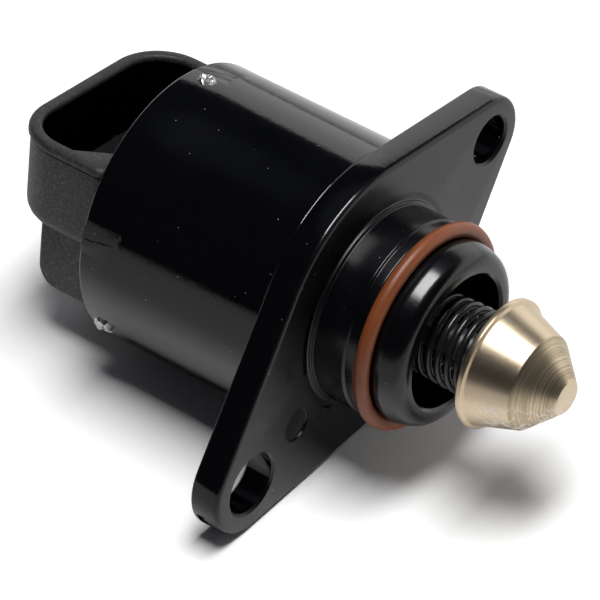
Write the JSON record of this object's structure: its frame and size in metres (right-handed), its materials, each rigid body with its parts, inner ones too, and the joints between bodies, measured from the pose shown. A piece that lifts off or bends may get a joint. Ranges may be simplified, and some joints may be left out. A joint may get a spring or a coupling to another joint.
{
  "type": "idle air control valve",
  "caption": "Idle air control valve: black can with an angled mounting flange, ringed nose, spring-loaded conical pintle and a side-facing plug socket.",
  "frame": {"origin": "where the valve axis meets the flange's mounting face", "axes": "+X along the valve axis towards the pintle tip, +Z the way the plug socket opens, +Y completes the right-handed frame"},
  "size_m": [0.0742, 0.0547, 0.0406],
  "materials": {
    "black_paint": "gloss",
    "brown_rubber": "satin",
    "zinc_gold": "satin",
    "plain_steel": "satin",
    "spring_wire": "satin",
    "bush_brass": "satin",
    "bearing_steel": "polished",
    "hub_plastic": "matt",
    "magnet": "matt",
    "bobbin_plastic": "matt",
    "winding_copper": "gloss",
    "black_rubber": "matt",
    "cap_plastic": "matt",
    "terminal_tin": "satin"
  },
  "bodies": {
    "valve_body": {"housing": "black_paint", "o_ring": "brown_rubber", "return_spring": "spring_wire", "spring_seat": "plain_steel", "guide_bush": "bush_brass", "bearing_outer_race": "bearing_steel", "bearing_balls": "bearing_steel", "front_outer_pole": "plain_steel", "front_bobbin": "bobbin_plastic", "front_winding": "winding_copper", "front_inner_pole": "plain_steel", "rear_inner_pole": "plain_steel", "rear_bobbin": "bobbin_plastic", "rear_winding": "winding_copper", "rear_outer_pole": "plain_steel", "thrust_washer": "plain_steel", "rear_bush": "bush_brass", "rear_seal": "black_rubber", "connector_cap": "cap_plastic", "terminals": "terminal_tin"},
    "rotor": {"rotor_hub": "hub_plastic", "rotor_magnet": "magnet", "bearing_inner_race": "bearing_steel"},
    "pintle": {"pintle": "zinc_gold", "pintle_shaft": "plain_steel"}
  },
  "joints": [
    {"name": "rotor_spin", "type": "hinge", "parent": "valve_body", "child": "rotor", "pos_m": [-0.015, 0, 0], "axis": [1, 0, 0], "range_deg": [-1800, 0]},
    {"name": "pintle_slide", "type": "slide", "parent": "valve_body", "child": "pintle", "axis": [1, 0, 0], "range_m": [-0.005, 0], "deforming": ["return_spring"]}
  ],
  "couplings": [
    {"joint": "pintle_slide", "follows": "rotor_spin", "m_per_rad": 0.00015915}
  ]
}
